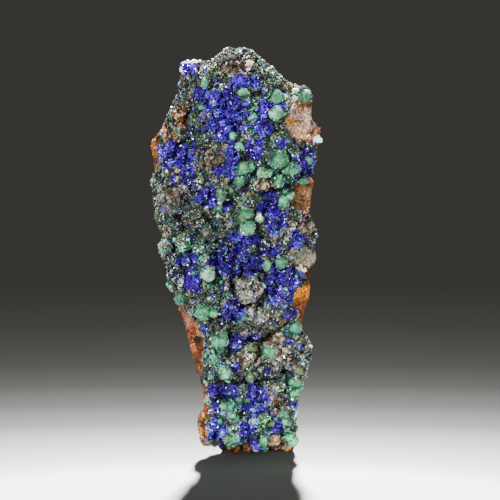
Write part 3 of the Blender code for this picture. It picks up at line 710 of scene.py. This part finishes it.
def rock_tints(points, outwards):
    """Rust brown with ochre and dark patches, green and blue stains behind, and ROCK_PATCHES in front."""
    tint = np.tile(linear(RUST), (len(points), 1))
    stain = fractal(points, 7.0)
    ochre = fractal(points, 4.0, shift=31.0)
    green = fractal(points, 6.0, shift=67.0)
    tint = blended(tint, stain * 2.2, DARK_RUST)
    tint = blended(tint, -stain * 2.0, LIGHT_RUST)
    tint = blended(tint, ochre * 3.0 - 0.7, OCHRE)
    tint = blended(tint, -ochre * 3.0 - 0.7, UMBER)
    behind = np.clip(outwards[:, 1] * 2.0, 0, 1)
    tint = blended(tint, (green * 4 - 1.6) * behind * 0.5, GREEN_STAIN)
    tint = blended(tint, (-green * 4 - 2.0) * behind * 0.5, BLUE_STAIN)
    ragged = 0.8 * fractal(points, 2.2) + 0.5 * fractal(points, 0.8, 2, shift=8.0)
    in_front = outwards[:, 1] < 0.5
    for field in ROCK_PATCHES:
        tint = blended(tint, (1.0 - reach(points, field) + ragged) * 1.6 * in_front, field[4])
    tint[:, :3] *= (1.0 + 0.4 * fractal(points, 1.3, 2, shift=90.0))[:, None]
    return tint


def rock_relief(points, outwards):
    """How far each point of the rock is raised: knobs, ledges and pits."""
    knobs = fractal(points, KNOB_SIZE, 4)
    ledges = np.round(LEDGES_PER_STEP * fractal(points, LEDGE_SIZE, 4, shift=12.0)) / LEDGES_PER_STEP
    pits = np.clip(0.5 - spots_near(points, PIT_SPACING)[:, 0], 0, 1)
    step = KNOB_RISE * knobs + LEDGE_RISE * ledges - PIT_DEPTH * pits - 0.1
    step *= 1.0 - 0.35 * np.clip(-outwards[:, 1], 0, 1)
    # Where the rock meets the crust it is never hollow. That seam lies farther back towards the sides.
    behind_seam = points[:, 1] + 5.0 - 0.011 * points[:, 0] ** 2
    seam = np.clip(1.0 - behind_seam / 2.5, 0, 1)
    return step * (1.0 - seam) + seam * np.maximum(step, 0.25)


def broken_foot(points, outwards):
    """The front edge of the foot is broken back by about 1 mm, and its lip up by as much as 2.6 mm."""
    points = points.copy()
    edge = np.clip(1.0 - points[:, 2] / 3.5, 0, 1) * np.clip(-outwards[:, 1] + 0.2, 0, 1)
    points[:, 1] += edge * (1.0 + 1.6 * fractal(points, 2.6, shift=4.0))
    lip = np.clip((-1.5 - points[:, 1]) / 1.5, 0, 1) * np.clip(1.0 - points[:, 2] / 3.0, 0, 1)
    points[:, 2] += lip * np.clip(0.9 + 2.2 * fractal(points, 2.4, shift=15.0), 0, 2.6)
    points[:, 2] = np.maximum(points[:, 2], 0.0)
    return points


def make_rock():
    """The slab of limonite, which stands level on its foot."""
    rock = fine_copy(ROCK, "limonite_rock", ROCK_CELL)
    points, outwards = points_of(rock.data), normals_of(rock.data)
    above_foot = np.clip(points[:, 2] / 1.5, 0, 1)
    points = points + outwards * (rock_relief(points, outwards) * above_foot)[:, None]
    points = broken_foot(points, outwards)
    move_points(rock, points)
    paint(rock.data, rock_tints(points, outwards))
    return keep(rock, limonite(), ROCK, smooth=True)


def make_rock_grit(rock, pick):
    """Grains on the rock in the rock's own colours, lighter and darker: fewer on its sides and its back."""
    spots, outwards = rock.scatter(GRIT_GAP, pick, lambda middle, turned: (turned[:, 2] > -0.8) * 1.0)
    aside, behind = np.abs(outwards[:, 0]), np.clip(outwards[:, 1], 0, 1)
    rough = fractal(spots, 1.8, shift=41.0) - 0.5 * aside - 0.4 * behind > -0.12
    rough &= spots[:, 2] > 0.6
    spots, outwards = spots[rough], outwards[rough]
    tints = rock_tints(spots, outwards)
    tints[:, :3] *= pick.uniform(0.45, 1.7, (len(spots), 1)) * pick.uniform(0.9, 1.1, (len(spots), 3))
    tints[:, 3] = pick.random(len(spots))
    smallest, larger = GRIT_SIZE
    sizes = smallest + larger * pick.random((len(spots), 1)) ** 3 * pick.uniform(0.6, 1.3, (len(spots), 3))
    sizes[:, 2] *= 0.7  # broken grit is flatter than it is wide
    grit = grown("limonite_grit", grain_shape(), spots, outwards, sizes, tints, pick, lean=0.6)
    return keep(grit, limonite_dust(), ROCK)


def field_names(points):
    """Which mineral covers the crust at each point."""
    ragged = 0.9 * fractal(points, 2.2) + 0.5 * fractal(points, 0.9, 2, shift=20.0)
    names = np.full(len(points), "dark", dtype="<U5")
    for name, fields in FIELDS.items():
        # Green grains keep close to the balls, so their fields are drawn in.
        edge = 0.6 if name == "green" else 1.0
        inside = np.zeros(len(points), bool)
        for field in fields:
            inside |= reach(points, field) < edge + ragged
        names[inside] = name
    return names


def find_balls(surface):
    """Where the balls of the solid sit: centre and radius."""
    found = []
    for x, z, radius, _ in BALLS:
        spot = surface.face_at(x, z)
        found.append((x, spot[1] + BALL_SUNK * radius, z, radius))
    return np.array(found)


def ball_share(points, balls):
    """Distance from the nearest ball's centre as a share of its radius."""
    apart = np.linalg.norm(points[:, None, :] - balls[None, :, :3], axis=2) / balls[None, :, 3]
    return apart.min(1)


def wandering(points):
    """The points shifted a little, so that the lumps measured at them have ragged outlines."""
    return points + 0.4 * fractal(points, 1.5)[:, None]


def crevices(points):
    """1 on top of a rosette of the crust, 0 in the crevices between rosettes."""
    wide = spots_near(wandering(points), ROSETTE)
    return np.clip((wide[:, 1] - wide[:, 0]) / CREVICE_WIDTH, 0, 1)


def lit(points):
    """How much light reaches the grains at each point: less in the crevices and the darker parts."""
    return shades(points) * (0.34 + 0.78 * crevices(points))


def make_crust(crust, balls):
    """The crust: lumps with crevices between them, darkened with painted shade."""
    points, outwards = points_of(crust.data), normals_of(crust.data)
    share = ball_share(points, balls)
    rosettes = crevices(points)
    lumps = 1.0 - spots_near(points + LUMP_SHIFT, LUMP)[:, 0] ** 2
    step = ROSETTE_RISE * (rosettes - 0.8) + LUMP_RISE * (lumps - 0.7) + SWELL_RISE * fractal(points, SWELL)
    under_ball = share < 1.15
    step = np.where(under_ball, -UNDER_BALL, step) - CLEFT_DEPTH * clefts(points)
    facing = np.clip(0.6 - outwards[:, 1], 0, 1)
    points = points + outwards * (step * facing)[:, None]
    # The back of the crust goes a little deeper into the rock, so that no gap opens between them.
    points[:, 1] += np.where(outwards[:, 1] > 0.5, 0.5, 0.0)
    move_points(crust, points)
    names = field_names(points)
    tint = np.zeros((len(points), 4))
    for name, dark in GROUND.items():
        tint[names == name] = linear(dark)
    tint[share < 1.2] = linear(BALL_GROUND)
    # Painted shade: the ground is darker in the crevices between the rosettes.
    tint[:, :3] *= (0.4 + 0.8 * rosettes)[:, None]
    paint(crust.data, tint)
    return keep(crust, crust_ground())


def make_balls(balls, pick, material):
    """Malachite balls: each is a bunch of fibres, lobed like a small cauliflower."""
    points, tints, many, taken = [], [], [], 0
    for (x, y, z, radius), (_, _, _, tint) in zip(balls, BALLS):
        form, faces = ball_shape(4 if radius > BIG_BALL else 3)
        centre = np.array([x, y, z])
        # Five to eight lobes point mostly forwards; on_lobe is 1 on top of one and 0 in the valleys.
        lobes = unit(pick.normal(size=(pick.integers(5, 9), 3)) - (0.0, 0.5, 0.0))
        on_lobe = (np.clip((form @ lobes.T).max(1), 0.3, 1.0) - 0.3) / 0.7
        skin = form * pick.uniform(0.75, 1.15, 3) * radius
        bud = spots_near(skin + centre, BUD_SPACING)[:, 0]
        rise = 0.66 + 0.38 * on_lobe ** 0.6
        rise += 0.13 * fractal(skin + centre, 1.0) + 0.08 * (0.5 - bud) / radius
        many.append(faces + taken)
        taken += len(form)
        points.append(centre + skin * rise[:, None])
        # Painted shade: each ball is darker in the valleys between its lobes and between its buds.
        shade = np.clip(1.2 - 0.5 * bud, 0.5, 1.1) * (0.45 + 0.65 * on_lobe)
        # It also takes the painted light and shade of the face where it sits.
        colour = np.tile(linear(tint), (len(form), 1)) * pick.uniform(0.68, 1.0) * shades(centre[None])[0]
        colour[:, :3] *= shade[:, None]
        tints.append(colour)
    piece = object_from("malachite_balls", *map(np.concatenate, (points, many, tints)))
    return keep(piece, material, smooth=True)


def make_beads(spots, names, pick, material):
    """Small beads of malachite in the green fields and here and there elsewhere."""
    chance = np.where(names == "green", 0.03, 0.008)
    chosen = np.flatnonzero(pick.random(len(spots)) < chance)[:MOST_BEADS]
    sizes = pick.uniform(*BEAD_RADIUS, (len(chosen), 1)) * pick.uniform(0.8, 1.2, (len(chosen), 3))
    tints = choose(BEADS, spots[chosen], pick)
    forwards = np.tile(FORWARDS, (len(chosen), 1))
    piece = grown("malachite_beads", ball_shape(2), spots[chosen], forwards, sizes, tints, pick, lean=1.0)
    return keep(piece, material, smooth=True)


def blade_sizes(count, pick):
    """Width, thickness and length of each azurite blade."""
    return np.stack([pick.uniform(*size, count) for size in (BLADE_WIDTH, BLADE_THICKNESS, BLADE_LENGTH)], 1)


def open_air(rock):
    """Tells which triangles of the crust can be seen: all but those with the rock close behind them."""

    def seen(middle, turned):
        free = turned[:, 1] < 0.45
        for k in np.flatnonzero(~free):
            free[k] = rock.tree.ray_cast(Vector(middle[k]), Vector((0, 1, 0)), 4.0)[0] is None
        return free * 1.0

    return seen


def make_azurite(surface, balls, seen, pick, material):
    """Azurite blades over the blue fields, with a few strays elsewhere."""
    spots, outwards = surface.scatter(AZURITE_GAP, pick, seen)
    names, share = field_names(spots), ball_share(spots, balls)
    stray = fractal(spots, 1.4, 2, shift=77.0) > 0.58
    grow = (share > 1.1) & ((names == "blue") | stray)
    spots, outwards = spots[grow], outwards[grow]
    tints = choose(PALETTES["blue"], spots, pick, own=0.5, spread=0.4)
    tints[:, :3] *= lit(spots)[:, None]
    upper = spots[:, 2] >= AZURITE_PARTED
    for name, here in (("azurite_upper", upper), ("azurite_lower", ~upper)):
        sizes = blade_sizes(here.sum(), pick)
        piece = grown(name, blade_shape(), spots[here], outwards[here], sizes, tints[here], pick)
        keep(piece, material)


def make_druse(surface, balls, seen, pick, material, green_material):
    """Grains of the other minerals in their fields, a piece for each, and the beads among them."""
    spots, outwards = surface.scatter(DRUSE_GAP, pick, seen)
    names, share = field_names(spots), ball_share(spots, balls)
    # Some grains climb the sides of the balls.
    beside_ball = (outwards[:, 1] > -0.35) & (share > 0.8) & (pick.random(len(names)) < 0.5)
    bare = (share > 1.12) | beside_ball
    light = lit(spots)
    make_beads(spots[bare], names[bare], pick, green_material)
    for name, palette in PALETTES.items():
        here = bare & (names == name)
        if name == "blue" or not here.any():
            continue
        count = here.sum()
        smallest, larger = GREY_SIZE if name == "grey" else DRUSE_SIZE
        sizes = (smallest + larger * pick.random((count, 1)) ** 2) * pick.uniform(0.7, 1.3, (count, 3))
        tints = choose(palette, spots[here], pick)
        if name == "grey":
            # The grey druse is a heap of tiny rosettes, each darker towards its edge: painted shade.
            tints[:, :3] *= 1.3 - 0.9 * spots_near(spots[here], 1.0)[:, :1]
        tints[:, :3] *= light[here][:, None]
        shape = block_shape() if name in ("brown", "grey") else grain_shape()
        piece = grown("druse_" + name, shape, spots[here], outwards[here], sizes, tints, pick)
        keep(piece, material)


def make_overgrowth(surface, pick, material):
    """Patches of fine grains that have grown over the balls."""
    spots, outwards = surface.scatter(OVERGROWTH_GAP, pick, lambda middle, turned: turned[:, 1] < 0.3)
    over = fractal(spots, 1.5, 2, shift=3.0) + 0.35 * outwards[:, 1] > -0.02
    spots, outwards, names = spots[over], outwards[over], field_names(spots[over])
    tints = np.zeros((len(spots), 4))
    for name, palette in PALETTES.items():
        if (names == name).any():
            tints[names == name] = choose(palette, spots[names == name], pick)
    sizes = pick.uniform(*OVERGROWTH_SIZE, (len(spots), 1)) * pick.uniform(0.6, 1.3, (len(spots), 3))
    piece = grown("overgrowth", grain_shape(), spots, outwards, sizes, tints, pick)
    return keep(piece, material)


def front_of(x, z, crust, rock):
    """The crust's or else the rock's point seen from the front; beside both, the crust's nearest point."""
    spot = crust.face_at(x, z)
    if spot is None:
        spot = rock.face_at(x, z)
    return np.array(crust.tree.find_nearest(Vector((x, -6.0, z)))[0]) if spot is None else spot


def make_knobs(crust, rock, pick, material):
    """Knobs of coarse grains along the foot and the left edge."""
    places, outwards, sizes, tints = [], [], [], []
    smallest, larger = KNOB_GRAIN_SIZE
    for x, z, wide, tall, palette in KNOBS:
        count = int(4 * math.pi * wide * tall / KNOB_GAP ** 2)
        turned = unit(pick.normal(size=(count, 3)))
        centre = np.array([x, front_of(x, z, crust, rock)[1] + 0.4 * wide, z])
        spots = centre + turned * pick.uniform(0.8, 1.0, (count, 1)) * (wide, wide, tall)
        inside = spots[:, 2] > 0.4
        places.append(spots[inside])
        outwards.append(turned[inside])
        across = smallest + larger * pick.random((count, 1))
        sizes.append((across * pick.uniform(0.7, 1.3, (count, 3)))[inside])
        tints.append(choose(PALETTES[palette], spots, pick)[inside])
    heap = map(np.concatenate, (places, outwards, sizes, tints))
    piece = grown("foot_knobs", block_shape(), *heap, pick, lean=0.6)
    return keep(piece, material)


def make_chips(crust, rock, pick, material):
    """Bits of pale mineral, each of a few blocks."""
    places, sizes, tints = [], [], []
    # Chips along the knob's rim stand in part for a highlight on its edge: painted highlight.
    rim = [(x, z, *RIM_CHIP, RIM_TINT) for x, z in RIM]
    for x, z, width, height, tint in [*CHIPS, *rim]:
        spot = front_of(x, z, crust, rock)
        for _ in range(BLOCKS_PER_CHIP):
            shift = pick.uniform(-0.35, 0.35, 3) * (width, 0.3, height)
            places.append(np.array([x, spot[1], z]) + shift)
            sizes.append(pick.uniform(0.5, 0.8, 3) * (width, 0.8, height))
            tints.append(np.array(linear(tint)) * pick.uniform(0.75, 1.1))
    places, sizes, tints = np.array(places), np.array(sizes), np.array(tints)
    forwards = np.tile(FORWARDS, (len(places), 1))
    sizes = sizes[:, [0, 2, 1]]
    piece = grown("pale_chips", block_shape(), places, forwards, sizes, tints, pick, lean=0.5)
    return keep(piece, material)


# ---------------------------------------------------------------- stage
def paper():
    """Uncoated studio paper, rolled smooth: quite matt, so it shows soft light and shadow and no glint.

    It fades into the backdrop towards its edge: a painted pool of light, standing in for the lamps' light
    falling off.
    """
    made, tree, shader = new_material("paper")
    place = add(tree, "ShaderNodeTexCoord", {})
    squeezed = add(tree, "ShaderNodeVectorMath", {0: place.outputs["Object"]}, operation="MULTIPLY")
    squeezed.inputs[1].default_value = (FADE_SQUEEZE / FADE_REACH / MM, 1.0 / FADE_REACH / MM, 0.0)
    far = add(tree, "ShaderNodeVectorMath", {0: squeezed.outputs["Vector"]}, operation="LENGTH")
    stops = [(distance / FADE_REACH, solid) for distance, solid in PAINTED_POOL_OF_LIGHT]
    fade = add(tree, "ShaderNodeValToRGB", {"Fac": far.outputs["Value"]}, stops)
    tree.links.new(fade.outputs["Color"], shader.inputs["Alpha"])
    set_values(shader, Base_Color=linear(0xC8C8C6), Roughness=0.9, Specular_IOR_Level=0.0)
    return made


def make_stage():
    """The sheet of paper that the specimen stands on."""
    mesh = bmesh.new()
    bmesh.ops.create_circle(mesh, cap_ends=True, segments=128, radius=FLOOR_RADIUS * MM)
    floor = bpy.data.meshes.new("floor")
    mesh.to_mesh(floor)
    mesh.free()
    floor.materials.append(paper())
    sheet = bpy.data.objects.new("floor", floor)
    sheet.location = Vector(FLOOR_MIDDLE) * MM
    bpy.context.scene.collection.objects.link(sheet)
    return sheet


def make_backdrop():
    """An even dark grey all around."""
    world = bpy.data.worlds.new("studio")
    world.use_nodes = True
    set_values(world.node_tree.nodes["Background"], Color=linear(0x3B3A36), Strength=1.0)
    bpy.context.scene.world = world


def add_lamp(name, place, aim, size, spread, power):
    """A soft square lamp whose grid keeps its light within the spread in degrees; its power is in watts."""
    lamp = bpy.data.lights.new(name, "AREA")
    lamp.size = size * MM
    lamp.energy = power
    lamp.spread = math.radians(spread)
    made = bpy.data.objects.new(name, lamp)
    made.location = Vector(place) * MM
    towards = Vector(aim) * MM - made.location
    made.rotation_euler = towards.to_track_quat("-Z", "Y").to_euler()
    bpy.context.scene.collection.objects.link(made)
    return made


def carded(lamp, sheet, state):
    """Cards a lamp off: EXCLUDE keeps its light from the sheet, INCLUDE lets it light nothing else."""
    card = bpy.data.collections.new(lamp.name + "_card")
    card.objects.link(sheet)
    card.collection_objects[0].light_linking.link_state = state
    lamp.light_linking.receiver_collection = card


def make_lamps(sheet):
    """Soft lamps around the specimen, and two for the floor.

    Of those, the one behind throws the shadow forward, and the faint one in front softens it.
    """
    for lamp in (
        add_lamp("soft_key", (-280, -430, 250), (0, 0, 50), 110, 40, 0.45),
        add_lamp("soft_fill", (360, -400, 130), (0, 0, 50), 120, 40, 0.18),
        add_lamp("overhead", (20, 20, 540), (0, -10, 50), 120, 40, 0.1),
        add_lamp("back", (8, 190, 470), (0, -20, 0), 60, 50, 2.4),
        add_lamp("back_fill", (-360, 330, 200), (0, 0, 50), 160, 40, 0.16),
        add_lamp("side_fill", (430, 220, 170), (0, 0, 50), 160, 40, 0.06),
    ):
        carded(lamp, sheet, "EXCLUDE")
    for lamp in (
        add_lamp("floor_light", (40, 600, 430), (0, -60, 0), 75, 100, 31.0),
        add_lamp("floor_fill", (0, -430, 250), (0, -20, 0), 120, 60, 0.026),
    ):
        carded(lamp, sheet, "INCLUDE")


def make_camera():
    """A long lens, a little above the specimen and looking down at it."""
    camera = bpy.data.cameras.new("camera")
    camera.lens = CAMERA_LENS
    camera.clip_start = 10 * MM
    made = bpy.data.objects.new("camera", camera)
    tilt = math.radians(CAMERA_ELEVATION)
    back = Vector((0.0, -math.cos(tilt), math.sin(tilt)))
    made.location = (Vector(AIM) + back * CAMERA_DISTANCE) * MM
    made.rotation_euler = (-back).to_track_quat("-Z", "Y").to_euler()
    bpy.context.scene.collection.objects.link(made)
    bpy.context.scene.camera = made


make_camera()
make_backdrop()
make_lamps(make_stage())

pick = np.random.default_rng(SEED)
rock_surface = Surface(make_rock())
make_rock_grit(rock_surface, pick)
crust_copy = fine_copy(CRUST, "crust_ground", CRUST_CELL)
move_points(crust_copy, seated(points_of(crust_copy.data)))
ball_places = find_balls(Surface(crust_copy))
crust_surface = Surface(make_crust(crust_copy, ball_places))
green = malachite()
grains = druse()
make_overgrowth(Surface(make_balls(ball_places, pick, green)), pick, grains)
in_the_open = open_air(rock_surface)
make_azurite(crust_surface, ball_places, in_the_open, pick, azurite())
make_druse(crust_surface, ball_places, in_the_open, pick, grains, green)
make_chips(crust_surface, rock_surface, pick, grains)
make_knobs(crust_surface, rock_surface, pick, grains)
